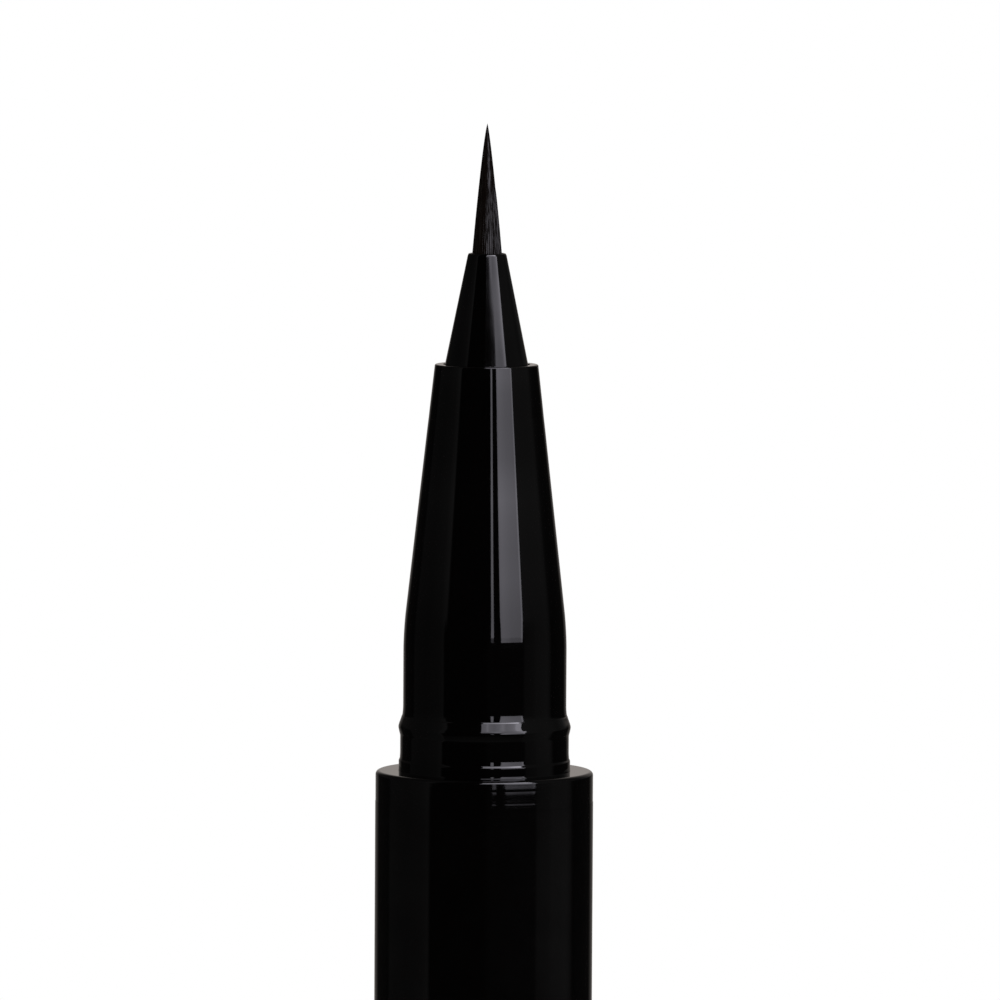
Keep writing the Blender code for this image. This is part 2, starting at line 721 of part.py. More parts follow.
def build():
    clear_scene()
    black = finish("gloss_black", (0.012, 0.012, 0.014), 0.16)
    hair = finish("brush_black", (0.010, 0.009, 0.010), 0.45)
    natural = finish("natural_acetal", (0.78, 0.77, 0.72), 0.40)
    clear = finish("natural_polypropylene", (0.62, 0.64, 0.64), 0.30)
    elastomer = finish("seal_rubber", (0.05, 0.05, 0.05), 0.65)
    steel = finish("bright_steel", (0.62, 0.62, 0.63), 0.22, 1.0)

    nose = station("front_shoulder", FRONT_SHOULDER)
    tail = station("rear_shoulder", REAR_SHOULDER)
    cap = station("cap_mouth", CAP_LENGTH)
    inner_mouth = station("inner_cap_mouth", CAP_LENGTH - INNER_CAP_DEPTH)

    brush(hair, nose)
    tip_cone(black, nose)
    front_section(black, nose)
    feed_rod(natural, nose)
    ink_collector(natural, nose)
    seal_ring(elastomer, nose)
    collar_ring(black, nose)
    barrel_sleeve(black, tail)
    ink_tank(clear, tail)
    tank_stopper(clear, tail)
    mixing_ball(steel, tail)
    tail_plug(black, tail)
    outer_cap(black, cap)
    inner_cap(clear, inner_mouth)
    inner_cap_spring(steel, cap)


build()
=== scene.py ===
import math
import random

import bmesh
import bpy
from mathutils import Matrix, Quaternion, Vector


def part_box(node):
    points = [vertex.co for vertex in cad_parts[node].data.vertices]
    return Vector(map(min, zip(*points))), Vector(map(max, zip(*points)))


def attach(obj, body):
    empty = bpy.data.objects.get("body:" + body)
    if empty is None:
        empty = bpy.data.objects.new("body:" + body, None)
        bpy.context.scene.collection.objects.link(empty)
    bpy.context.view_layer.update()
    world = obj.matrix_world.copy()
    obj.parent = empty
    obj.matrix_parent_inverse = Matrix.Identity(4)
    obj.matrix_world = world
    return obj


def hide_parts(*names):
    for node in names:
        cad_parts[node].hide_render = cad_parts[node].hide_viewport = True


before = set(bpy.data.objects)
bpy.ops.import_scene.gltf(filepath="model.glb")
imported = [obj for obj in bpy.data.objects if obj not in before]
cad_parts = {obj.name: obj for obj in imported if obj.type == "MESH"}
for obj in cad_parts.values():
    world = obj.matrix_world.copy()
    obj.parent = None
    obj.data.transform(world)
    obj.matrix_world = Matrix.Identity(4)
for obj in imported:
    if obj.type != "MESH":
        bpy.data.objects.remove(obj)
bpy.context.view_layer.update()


# Barrel sleeve: a black plastic tube, injection moulded in a polished tool and open at both
# ends. The tail plug closes it behind. In front it is bored wider, for the lip of the collar
# ring, and its front edge is left sharp, so that the seam with the ring stays a hairline.
TURN_STEPS = 256
EDGE_SEGMENTS = 8
EDGE_HOLD = 0.00002
SHORTEST_HELD_EDGE = 4 * EDGE_HOLD
MERGE_DISTANCE = 0.0000001
SHARP_ANGLE = math.radians(35)
BARREL_BORE = 0.0043
BARREL_COUNTERBORE = 0.0048
COUNTERBORE_DEPTH = 0.0020
SEAM_CLOSED = 0.00009
BARREL_REAR_EDGE = 0.00004
BLACK = (0.0004, 0.0003, 0.0003)
BARREL_ROUGHNESS = 0.075
PLASTIC_IOR = 1.5
NOISE_REACH = (0.3, 0.7)
POLISH_SCALE = 700
POLISH_DETAIL = 4
POLISH_SHARES = (0.8, 1.3)
TINT_SHARES = (0.85, 1.15)
SHEEN_SCALE = 260
SHEEN_DETAIL = 3
SHEEN_LEVELS = (0.65, 0.41)
WAVE_SCALE = 320
WAVE_DETAIL = 1
WAVE_STRENGTH = 1
WAVE_DEPTH = 0.0000015
MARK_STRETCH = (900, 900, 9000)
MARK_DETAIL = 2
MARK_STRENGTH = 0.6
MARK_DEPTH_SHARE = 0.03


def held(shape):
    """Two extra points on each long run of an outline, so that flats stay flat when shaded."""
    for edge in list(shape.edges):
        if edge.calc_length() < SHORTEST_HELD_EDGE:
            continue
        first, second = edge.verts
        point = bmesh.utils.edge_split(edge, first, EDGE_HOLD / edge.calc_length())[1]
        rest = next(run for run in point.link_edges if second in run.verts)
        bmesh.utils.edge_split(rest, second, EDGE_HOLD / rest.calc_length())


def as_piece(name, shape):
    """A bmesh as a smooth-shaded object of the scene, with its place in its mesh."""
    mesh = bpy.data.meshes.new(name)
    shape.to_mesh(mesh)
    shape.free()
    mesh.shade_smooth()
    mesh.set_sharp_from_angle(angle=SHARP_ANGLE)
    piece = bpy.data.objects.new(name, mesh)
    bpy.context.scene.collection.objects.link(piece)
    return piece


def lathe(name, outline, steps=TURN_STEPS):
    """Turn an outline round the pen's axis. A corner is (radius, height), or has a third value,
    the length over which it is rounded."""
    shape = bmesh.new()
    corners = [shape.verts.new((corner[0], 0, corner[1])) for corner in outline]
    for first, second in zip(corners, corners[1:] + corners[:1]):
        if first.co.x > 0 or second.co.x > 0:
            shape.edges.new((first, second))
    for corner, wanted in zip(corners, outline):
        if len(wanted) == 3:
            bmesh.ops.bevel(
                shape, geom=[corner], offset=wanted[2], offset_type="OFFSET",
                segments=EDGE_SEGMENTS, profile=0.5, affect="VERTICES", material=-1,
            )
    held(shape)
    bmesh.ops.spin(
        shape, geom=shape.verts[:] + shape.edges[:], cent=(0, 0, 0), axis=(0, 0, 1),
        angle=math.tau, steps=steps, use_merge=True,
    )
    bmesh.ops.remove_doubles(shape, verts=shape.verts, dist=MERGE_DISTANCE)
    bmesh.ops.recalc_face_normals(shape, faces=shape.faces)
    return as_piece(name, shape)


def shader_node(tree, kind, inputs, **settings):
    """A new node, each of whose inputs gets a plain value or a link from another's output."""
    node = tree.nodes.new(kind)
    for name, value in settings.items():
        setattr(node, name, value)
    for name, value in inputs.items():
        if isinstance(value, bpy.types.NodeSocket):
            tree.links.new(value, node.inputs[name])
        else:
            node.inputs[name].default_value = value
    return node


def noise(tree, place, scale, detail):
    """A cloudy pattern over a piece."""
    inputs = {"Vector": place, "Scale": scale, "Detail": detail}
    return shader_node(tree, "ShaderNodeTexNoise", inputs).outputs["Fac"]


def streaks(tree, place, stretch, detail):
    """A cloudy pattern with a scale of its own along each axis of a piece."""
    stretched = shader_node(tree, "ShaderNodeMapping", {"Vector": place, "Scale": stretch})
    return noise(tree, stretched.outputs["Vector"], 1, detail)


def ranged(tree, value, reach, span=(0, 1), **settings):
    """A value that runs over its span while another runs over its reach."""
    inputs = {
        "Value": value, "From Min": reach[0], "From Max": reach[1],
        "To Min": span[0], "To Max": span[1],
    }
    return shader_node(tree, "ShaderNodeMapRange", inputs, **settings).outputs["Result"]


def mixed(tree, share, first, second):
    """The first colour, turned into the second by a share."""
    inputs = {"Fac": share, "Color1": first, "Color2": second}
    return shader_node(tree, "ShaderNodeMixRGB", inputs).outputs["Color"]


def tinted(tree, pattern, colour, shares):
    """A colour that a pattern varies between two shares of it."""
    low, high = [(*[share * part for part in colour], 1) for share in shares]
    return mixed(tree, pattern, low, high)


def bare_finish(name):
    """A new material, with its tree, its shader's inputs and the place on the piece."""
    material = bpy.data.materials.new(name)
    material.use_nodes = True
    tree = material.node_tree
    skin = tree.nodes["Principled BSDF"].inputs
    skin["IOR"].default_value = PLASTIC_IOR
    place = tree.nodes.new("ShaderNodeTexCoord").outputs["Object"]
    return material, tree, skin, place


def smooth_finish(name, colour, roughness):
    """A smooth skin: its polish, tint and gloss vary a little from place to place, a faint wave
    bends the reflections, and hairline handling marks run round the piece."""
    material, tree, skin, place = bare_finish(name)
    clouds = noise(tree, place, POLISH_SCALE, POLISH_DETAIL)
    polish = [roughness * share for share in POLISH_SHARES]
    tree.links.new(ranged(tree, clouds, NOISE_REACH, polish), skin["Roughness"])
    tree.links.new(tinted(tree, clouds, colour, TINT_SHARES), skin["Base Color"])
    patches = noise(tree, place, SHEEN_SCALE, SHEEN_DETAIL)
    gloss = ranged(tree, patches, NOISE_REACH, SHEEN_LEVELS)
    tree.links.new(gloss, skin["Specular IOR Level"])
    marks = shader_node(tree, "ShaderNodeBump", {
        "Height": streaks(tree, place, MARK_STRETCH, MARK_DETAIL),
        "Strength": MARK_STRENGTH,
        "Distance": WAVE_DEPTH * MARK_DEPTH_SHARE,
    })
    wave = shader_node(tree, "ShaderNodeBump", {
        "Height": noise(tree, place, WAVE_SCALE, WAVE_DETAIL),
        "Strength": WAVE_STRENGTH,
        "Distance": WAVE_DEPTH,
        "Normal": marks.outputs["Normal"],
    })
    tree.links.new(wave.outputs["Normal"], skin["Normal"])
    return material


barrel_low, barrel_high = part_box("barrel_sleeve")
barrel_radius = barrel_high.x
barrel_top = barrel_high.z + SEAM_CLOSED
barrel = lathe("barrel", [
    (BARREL_COUNTERBORE, barrel_top),
    (barrel_radius, barrel_top),
    (barrel_radius, barrel_low.z, BARREL_REAR_EDGE),
    (BARREL_BORE, barrel_low.z),
    (BARREL_BORE, barrel_top - COUNTERBORE_DEPTH),
    (BARREL_COUNTERBORE, barrel_top - COUNTERBORE_DEPTH),
])
barrel.data.materials.append(smooth_finish("barrel black", BLACK, BARREL_ROUGHNESS))
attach(barrel, "pen")
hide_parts("barrel_sleeve")


# Collar ring: a short black ring pressed into the barrel's mouth by its lip, with a rounded
# upper edge. Fine ripples run round its side where the mould was turned. How far each one
# leans is listed down the side, and the steeper ones catch the light in hairlines.
COLLAR_TURN_STEPS = 192
COLLAR_BORE = 0.0041
COLLAR_LIP_RADIUS = 0.0047
COLLAR_TOP_EDGE = 0.00020
COLLAR_INSET = 0.000002
COLLAR_SEAM_GAP = 0.000005
COLLAR_ROUGHNESS = 0.065
RIPPLE_PITCH = 0.00004
RIPPLE_POINTS = 6
RIPPLE_LEAN = (
    (0.00020, 8), (0.00024, 12), (0.00034, 11), (0.00041, 5.0), (0.00046, 3.4), (0.00052, 3.2),
    (0.00054, 3.6), (0.00056, 9), (0.00060, 8), (0.00065, 5.4), (0.00071, 4.3), (0.00079, 4.0),
    (0.00094, 4.0), (0.00100, 4.4), (0.00105, 4.0), (0.00112, 3.8), (0.00115, 6),
    (0.00120, 6), (0.00123, 3.9), (0.00130, 4.2), (0.00138, 3.6), (0.00144, 2.5),
    (0.00148, 0.5), (0.00152, 0),
)


def ripple_lean(depth):
    """How far the ripples lean at a depth below the collar's top, in degrees."""
    for (start, lean), (end, next_lean) in zip(RIPPLE_LEAN, RIPPLE_LEAN[1:]):
        if start <= depth < end:
            return lean + (next_lean - lean) * (depth - start) / (end - start)
    return 0


collar_low, collar_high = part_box("collar_ring")
collar_radius = collar_high.x - COLLAR_INSET
collar_top = collar_high.z
collar_seam = barrel_top + COLLAR_SEAM_GAP
ripples = []
depth = COLLAR_TOP_EDGE
while depth < collar_top - collar_seam - RIPPLE_PITCH:
    depth += RIPPLE_PITCH / RIPPLE_POINTS
    height = math.tan(math.radians(ripple_lean(depth))) * RIPPLE_PITCH / math.tau
    wave = math.sin(math.tau * depth / RIPPLE_PITCH)
    ripples.append((collar_radius + height * wave, collar_top - depth))
collar = lathe("collar", [
    (COLLAR_BORE, collar_top),
    (collar_radius, collar_top, COLLAR_TOP_EDGE),
    *ripples,
    (collar_radius, collar_seam),
    (COLLAR_LIP_RADIUS, collar_seam),
    (COLLAR_LIP_RADIUS, collar_low.z),
    (COLLAR_BORE, collar_low.z),
], COLLAR_TURN_STEPS)
collar.data.materials.append(smooth_finish("collar black", BLACK, COLLAR_ROUGHNESS))
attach(collar, "pen")
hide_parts("collar_ring")


# Front section: the black grip cone, moulded in one with its snap bead, its neck and the flange
# that sits on the collar. Its skirt and spigot go down into the ink tank. The sides of bead and
# flange are listed as leans, and the mould's uneven polish as gloss by height.
SKIRT_RADIUS = 0.0040
SPIGOT_RADIUS = 0.0036
SEAL_GROOVE_RADIUS = 0.0031
SEAL_GROOVE_LENGTH = 0.0009
SEAL_GROOVE_FROM_SKIRT = 0.0030
SKIRT_LENGTH = 0.00362
SECTION_BORE = 0.00285
SECTION_BORE_DEPTH = 0.0124
MOUTH_BORE = 0.002155
MOUTH_RADIUS = 0.002555
MOUTH_EDGE = 0.00006
FLANGE_RADIUS = 0.004246
NECK_RADIUS = 0.004177
BEAD_RADIUS = 0.004268
LAND_RADIUS = 0.00404
NECK_BASE = 0.00093
FLANGE_SIDE = (
    (0, 0), (0.00006, 2.6), (0.00011, 3.0), (0.00013, 4.0), (0.00026, 4.2), (0.00031, 8),
    (0.00034, 30), (0.00040, 30), (0.00042, 12), (0.00044, 5), (0.00047, 2.5), (0.00050, 0),
)
FLANGE_FOOT = ((0, 0), (0.00008, 2.2), (0.00013, 3.5), (0.00017, 8), (0.00020, 16))
FLANGE_FOOT_HEIGHT = 0.00020
NECK_TOP = 0.00170
BEAD_BACK = (
    (0, 0), (0.00007, 8), (0.00014, 17), (0.00021, 13), (0.00035, 12), (0.00042, 8),
    (0.00049, 3),
)
BEAD_TOP = 0.00326
BEAD_SIDE = (
    (0, 0.5), (0.00012, 1.4), (0.00018, 2.7), (0.00022, 4.0), (0.00034, 5.5), (0.00044, 8.5),
    (0.00050, 11.5), (0.00052, 29), (0.00055, 30), (0.00057, 17), (0.00064, 18),
    (0.00075, 20.5), (0.00086, 20.5), (0.00096, 15), (0.00102, 13), (0.00107, 11),
)
SIDE_STEPS = 3
CONE_START = 0.00694
CONE_BLEND = 0.00094
WITNESS_RING_DEPTH = 0.000004
WITNESS_RING_HEIGHT = 0.0176
WITNESS_RING_LENGTH = 0.0006
SECTION_ROUGHNESS = 0.045
SECTION_GLOSS = (
    (0, 0.44), (0.0006, 0.45), (0.0008, 0.50), (0.0024, 0.55), (0.0027, 0.55), (0.0029, 0.50),
    (0.0031, 0.45), (0.0033, 0.44), (0.0068, 0.43), (0.0074, 0.43), (0.0083, 0.46),
    (0.0098, 0.54), (0.0112, 0.545), (0.0127, 0.595), (0.0137, 0.65), (0.0147, 0.595),
    (0.0157, 0.505), (0.0177, 0.49), (0.0189, 0.52), (0.0197, 0.61), (0.0205, 0.61),
)


def leaning(stations):
    """Points of a side, each as how far it has moved out and how far on. A station is a
    distance along the side and the lean there in degrees, which changes evenly to the next."""
    points = [(0, 0)]
    for (start, lean), (end, next_lean) in zip(stations, stations[1:]):
        for step in range(SIDE_STEPS):
            share = (step + 0.5) / SIDE_STEPS
            slope = math.tan(math.radians(lean + (next_lean - lean) * share))
            length = (end - start) / SIDE_STEPS
            points.append((points[-1][0] + slope * length, points[-1][1] + length))
    return points


def ramp(low, crest_radius, stations, onward):
    """Corners from low to a crest, leaning as its stations say, and fitted to both radii."""
    side = leaning(stations)
    stretch = (crest_radius - low[0]) / side[-1][0]
    return [(low[0] + out * stretch, low[1] + on * onward) for out, on in side]


def cone_radius(height):
    """The section's radius on its cone, at a height above the shoulder."""
    share = (height - CONE_START) / (section_length - CONE_START)
    return LAND_RADIUS + share * (MOUTH_RADIUS - LAND_RADIUS)


def lifted(outline, height):
    """An outline moved up by a height."""
    return [(corner[0], corner[1] + height, *corner[2:]) for corner in outline]


def own_axis(tree, axis):
    """One of a piece's own coordinates: X, Y or Z."""
    place = tree.nodes.new("ShaderNodeTexCoord").outputs["Object"]
    return shader_node(tree, "ShaderNodeSeparateXYZ", {"Vector": place}).outputs[axis]


def graded(tree, value, stops):
    """A colour that changes evenly between stops, each a (place, colour), along a value."""
    start = stops[0][0]
    length = stops[-1][0] - start
    scale = tree.nodes.new("ShaderNodeValToRGB")
    marks = scale.color_ramp.elements
    while len(marks) < len(stops):
        marks.new(0.5)
    for mark, (place, colour) in zip(marks, stops):
        mark.position = (place - start) / length
    for mark, (place, colour) in zip(marks, stops):
        mark.color = (*colour, 1)
    tree.links.new(ranged(tree, value, (start, start + length)), scale.inputs["Fac"])
    return scale.outputs["Color"]


section_low, section_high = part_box("front_section")
shoulder = collar_top
section_length = section_high.z - shoulder
ring_top = WITNESS_RING_HEIGHT + WITNESS_RING_LENGTH
ring_base = WITNESS_RING_HEIGHT - WITNESS_RING_LENGTH
nose = [
    (MOUTH_BORE, section_length),
    (MOUTH_RADIUS, section_length, MOUTH_EDGE),
    (cone_radius(ring_top), ring_top),
    (cone_radius(WITNESS_RING_HEIGHT) - WITNESS_RING_DEPTH, WITNESS_RING_HEIGHT),
    (cone_radius(ring_base), ring_base),
    (LAND_RADIUS, CONE_START, CONE_BLEND),
]
bead = ramp((LAND_RADIUS, BEAD_TOP), BEAD_RADIUS, BEAD_SIDE, -1)
bead += ramp((NECK_RADIUS, NECK_TOP), BEAD_RADIUS, BEAD_BACK, 1)[-2::-1]
flange = ramp((NECK_RADIUS, NECK_BASE), FLANGE_RADIUS, FLANGE_SIDE, -1)
flange += [
    (FLANGE_RADIUS + out, FLANGE_FOOT_HEIGHT - down) for out, down in leaning(FLANGE_FOOT)
]
groove_top = -SKIRT_LENGTH - SEAL_GROOVE_FROM_SKIRT
groove_base = groove_top - SEAL_GROOVE_LENGTH
spigot_base = section_low.z - shoulder
nose += bead + flange
nose += [
    (SKIRT_RADIUS, 0),
    (SKIRT_RADIUS, -SKIRT_LENGTH),
    (SPIGOT_RADIUS, -SKIRT_LENGTH),
    (SPIGOT_RADIUS, groove_top),
    (SEAL_GROOVE_RADIUS, groove_top),
    (SEAL_GROOVE_RADIUS, groove_base),
    (SPIGOT_RADIUS, groove_base),
    (SPIGOT_RADIUS, spigot_base),
    (SECTION_BORE, spigot_base),
    (SECTION_BORE, SECTION_BORE_DEPTH),
    (MOUTH_BORE, SECTION_BORE_DEPTH),
]
section = lathe("grip_section", lifted(nose, shoulder))
section_finish = smooth_finish("section black", BLACK, SECTION_ROUGHNESS)
tree = section_finish.node_tree
gloss = [(shoulder + height, (level, level, level)) for height, level in SECTION_GLOSS]
tree.links.new(
    graded(tree, own_axis(tree, "Z"), gloss),
    tree.nodes["Principled BSDF"].inputs["Specular IOR Level"],
)
section.data.materials.append(section_finish)
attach(section, "pen")
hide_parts("front_section")


# Tip cone: the small black cone that carries the brush. It drops through the section's
# mouth from behind and is held by a flange, and a step in its bore holds the brush's head.
TIP_TOP_RADIUS = 0.00094
TIP_BASE_RADIUS = 0.002055
TIP_TOP_EDGE = 0.00013
TIP_FLANGE_RADIUS = 0.00275
TIP_FLANGE_TOP = 0.0123
BRUSH_BORE = 0.000825
BRUSH_HEAD_BORE = 0.00105
BRUSH_HOLD_DEPTH = 0.0022

tip_low, tip_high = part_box("tip_cone")
tip_top = tip_high.z
tip = lathe("tip_holder", [
    (BRUSH_BORE, tip_top),
    (TIP_TOP_RADIUS, tip_top, TIP_TOP_EDGE),
    (TIP_BASE_RADIUS, section_high.z),
    (TIP_BASE_RADIUS, shoulder + TIP_FLANGE_TOP),
    (TIP_FLANGE_RADIUS, shoulder + TIP_FLANGE_TOP),
    (TIP_FLANGE_RADIUS, tip_low.z),
    (BRUSH_HEAD_BORE, tip_low.z),
    (BRUSH_HEAD_BORE, tip_top - BRUSH_HOLD_DEPTH),
    (BRUSH_BORE, tip_top - BRUSH_HOLD_DEPTH),
])
tip.data.materials.append(smooth_finish("tip black", BLACK, SECTION_ROUGHNESS))
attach(tip, "pen")
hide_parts("tip_cone")


# Brush: about 170 tapered polyester filaments, wet and drawn together to a needle point.
# Their tails are fused into a flat head behind the cone's step. The ink between them is a
# dark core, which lies flush with them on the left and lets them stand out on the right.
FILAMENT_RINGS = 7
FILAMENTS_PER_RING = 6
FILAMENT_SIDES = 8
FILAMENT_CUTS = 9
FILAMENT_BLUNTNESS = 5
BRUSH_RADIUS = 0.000725
BRUSH_TAPER = 0.77
BRUSH_SHORTEST_SHARE = 0.45
BRUSH_ROOT_SINK = 0.0003
BRUSH_HEAD_RADIUS = 0.00095
BRUSH_HEAD_GAP = 0.0001
BRUSH_BEND = 0.00002
BRUSH_SEED = 11
HEADING_JITTER = 0.12
WANDER = math.radians(1.6)
WANDER_GROWTH = 3
LENGTH_SPREAD = 0.05
FRONT_LOCK_THICKNESS = 2.4
FRONT_LOCK_REACH = 0.70
FRONT_LOCK_TURN = 0.04
CORE_SINK_SHARE = 0.30
CORE_SHIFT_SHARE = 0.60
CORE_STEPS = 40
CORE_TURN_STEPS = 96
FILAMENT_BLACK = (0.0030, 0.0020, 0.0015)
FILAMENT_ROUGHNESS = 0.13
STREAK_STRETCH = (17000, 17000, 140)
STREAK_DETAIL = 2
STREAK_TINT_SHARES = (0.5, 1.6)
STREAK_POLISH_SHARES = (0.7, 1.5)
WET_REACH = (0.42, 0.60)
WET_LEVELS = (0.06, 0.50)

random.seed(BRUSH_SEED)
brush_low, brush_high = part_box("brush_bristles")
apex = brush_high.z
brush_length = apex - tip_top
filament_radius = BRUSH_RADIUS / (2 * FILAMENT_RINGS + 1)
root_height = -BRUSH_ROOT_SINK / brush_length


def longest_left(share):
    """How far out, as a share of the tuft, filaments still reach at this share of its length."""
    return min(1, math.sqrt(max(0, 1 - share) / BRUSH_SHORTEST_SHARE))


def tuft_radius(share):
    """The tuft's radius at a share of its length."""
    return BRUSH_RADIUS * min(1, max(0, 1 - share)) ** BRUSH_TAPER


def spread(share):
    """The scale at which the root's pattern of filaments is drawn together at this height."""
    if share >= 1:
        return 0
    return tuft_radius(share) / longest_left(share) / BRUSH_RADIUS


strand = bmesh.new()
bmesh.ops.create_cone(
    strand, cap_ends=True, segments=FILAMENT_SIDES, radius1=1, radius2=0, depth=1,
)
bmesh.ops.translate(strand, verts=strand.verts, vec=(0, 0, 0.5))
flanks = [edge for edge in strand.edges if abs(edge.verts[0].co.z - edge.verts[1].co.z) > 0.5]
bmesh.ops.subdivide_edges(strand, edges=flanks, cuts=FILAMENT_CUTS)
strand_mesh = bpy.data.meshes.new("strand")
strand.to_mesh(strand_mesh)
strand.free()
tuft = bmesh.new()


def lay(thickness, heading, lean, outward, end):
    """Lay one filament into the tuft, from its root to the share of the length given."""
    already = len(tuft.verts)
    tuft.from_mesh(strand_mesh)
    tuft.verts.ensure_lookup_table()
    for vert in tuft.verts[already:]:
        along = vert.co.z
        share = root_height + (end - root_height) * along
        drawn = spread(max(0, share))
        thick = thickness * drawn * math.sqrt(max(0, 1 - along ** FILAMENT_BLUNTNESS))
        around = vert.co.xy.normalized() * thick if vert.co.xy.length > 0 else Vector((0, 0))
        turn = heading + lean * along * WANDER_GROWTH
        centre = Vector((math.cos(turn), math.sin(turn))) * outward * drawn
        vert.co = (*(centre + around), tip_top + share * brush_length)


for ring in range(FILAMENT_RINGS + 1):
    count = max(1, FILAMENTS_PER_RING * ring)
    for index in range(count):
        heading = math.tau * (index + random.uniform(-HEADING_JITTER, HEADING_JITTER)) / count
        outward = 2 * filament_radius * ring
        reach = (outward + filament_radius) / BRUSH_RADIUS
        end = 1 - BRUSH_SHORTEST_SHARE * reach ** 2 - random.uniform(0, LENGTH_SPREAD) * reach
        lean = random.uniform(-WANDER, WANDER) * min(1, ring)
        lay(filament_radius, heading, lean, outward, end)
front_lock = FRONT_LOCK_THICKNESS * filament_radius
front = -math.pi / 2 - FRONT_LOCK_TURN
lay(front_lock, front, 0, BRUSH_RADIUS - front_lock, FRONT_LOCK_REACH)
bmesh.ops.recalc_face_normals(tuft, faces=tuft.faces)
brush = as_piece("brush_tuft", tuft)

core_outline = []
for step in range(CORE_STEPS):
    share = root_height + (1 - root_height) * (step / CORE_STEPS)
    sink = CORE_SINK_SHARE * filament_radius * spread(max(0, share))
    core_outline.append((tuft_radius(max(0, share)) - sink, tip_top + share * brush_length))
head_top = tip_top - BRUSH_HOLD_DEPTH - BRUSH_HEAD_GAP
core = lathe("brush_core", [
    (0, apex),
    *core_outline[::-1],
    (BRUSH_RADIUS, tip_top - BRUSH_ROOT_SINK),
    (BRUSH_RADIUS, head_top),
    (BRUSH_HEAD_RADIUS, head_top),
    (BRUSH_HEAD_RADIUS, brush_low.z),
    (0, brush_low.z),
], CORE_TURN_STEPS)
for vert in core.data.vertices:
    drawn = spread(max(0, (vert.co.z - tip_top) / brush_length))
    vert.co.x -= CORE_SHIFT_SHARE * filament_radius * drawn
for part in (brush, core):
    for vert in part.data.vertices:
        vert.co.x -= BRUSH_BEND * max(0, vert.co.z - tip_top) / brush_length


def wet_filaments():
    """Drawn filaments wet with ink: streaks run along them in colour and in gloss."""
    material, tree, skin, place = bare_finish("brush filaments")
    pattern = streaks(tree, place, STREAK_STRETCH, STREAK_DETAIL)
    tree.links.new(tinted(tree, pattern, FILAMENT_BLACK, STREAK_TINT_SHARES), skin["Base Color"])
    polish = [FILAMENT_ROUGHNESS * share for share in STREAK_POLISH_SHARES]
    tree.links.new(ranged(tree, pattern, NOISE_REACH, polish), skin["Roughness"])
    tree.links.new(ranged(tree, pattern, WET_REACH, WET_LEVELS), skin["Specular IOR Level"])
    return material


filament_finish = wet_filaments()
for part in (brush, core):
    part.data.materials.append(filament_finish)
    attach(part, "pen")
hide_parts("brush_bristles")


# Ink feed: the acetal rod with channels along it that leads ink to the brush, inside the
# comb of thin fins that takes up spare ink, and the rubber ring that seals the section's
# spigot to the tank. All three are hidden by the section and keep their built shape.
ACETAL = (0.78, 0.77, 0.72)
ACETAL_ROUGHNESS = 0.38
RUBBER = (0.05, 0.05, 0.05)
RUBBER_ROUGHNESS = 0.62


def dress(node, finish):
    """Give a piece that keeps its built shape its finish."""
    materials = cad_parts[node].data.materials
    materials.clear()
    materials.append(finish)


acetal_finish = smooth_finish("natural acetal", ACETAL, ACETAL_ROUGHNESS)
dress("feed_rod", acetal_finish)
dress("ink_collector", acetal_finish)
dress("section_seal_ring", smooth_finish("seal rubber", RUBBER, RUBBER_ROUGHNESS))


# Ink tank: an extruded polypropylene tube, closed by a ribbed stopper, with a loose steel
# ball in it that stirs the ink when the pen is shaken.
POLYPROPYLENE = (0.62, 0.64, 0.64)
POLYPROPYLENE_ROUGHNESS = 0.32
STEEL = (0.62, 0.62, 0.63)
STEEL_ROUGHNESS = 0.2

milky_finish = smooth_finish("natural polypropylene", POLYPROPYLENE, POLYPROPYLENE_ROUGHNESS)
steel_finish = smooth_finish("bright steel", STEEL, STEEL_ROUGHNESS)
steel_finish.node_tree.nodes["Principled BSDF"].inputs["Metallic"].default_value = 1
dress("ink_tank", milky_finish)
dress("tank_stopper", milky_finish)
dress("mixing_ball", steel_finish)


# Tail plug: a black plug with a flange flush with the barrel. Its ribbed skirt grips the
# barrel's bore, and its spigot repeats the nose's snap land, so that the cap holds on it.
PLUG_WALL = 0.0010
PLUG_FOOT = 0.0040
PLUG_RIB_RADIUS = 0.0042
PLUG_FLANGE_HEIGHT = 0.0010
PLUG_SKIRT_LENGTH = 0.0070
PLUG_RIB_LENGTH = 0.0008
PLUG_RIB_COUNT = 2
PLUG_END_EDGE = 0.0005
PLUG_END_WALL = 0.0012
PLUG_FLANGE_EDGE = 0.00010

plug_low, plug_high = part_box("tail_plug")
rear_shoulder = plug_high.z - PLUG_SKIRT_LENGTH
plug = [
    (PLUG_FOOT - PLUG_WALL, PLUG_SKIRT_LENGTH),
    (PLUG_FOOT, PLUG_SKIRT_LENGTH),
]
rib_pitch = (PLUG_SKIRT_LENGTH - PLUG_FLANGE_HEIGHT) / PLUG_RIB_COUNT
for index in range(PLUG_RIB_COUNT):
    rib = PLUG_SKIRT_LENGTH - rib_pitch * (index + 0.5)
    plug += [
        (PLUG_FOOT, rib + PLUG_RIB_LENGTH / 2),
        (PLUG_RIB_RADIUS, rib + PLUG_RIB_LENGTH / 4, PLUG_RIB_LENGTH / 8),
        (PLUG_RIB_RADIUS, rib - PLUG_RIB_LENGTH / 4, PLUG_RIB_LENGTH / 8),
        (PLUG_FOOT, rib - PLUG_RIB_LENGTH / 2),
    ]
plug += [
    (PLUG_FOOT, PLUG_FLANGE_HEIGHT),
    (barrel_radius, PLUG_FLANGE_HEIGHT, BARREL_REAR_EDGE),
    (barrel_radius, 0, PLUG_FLANGE_EDGE),
    *[(radius, -height) for radius, height in (bead + flange)[::-1]],
]
spigot_end = plug_low.z - rear_shoulder
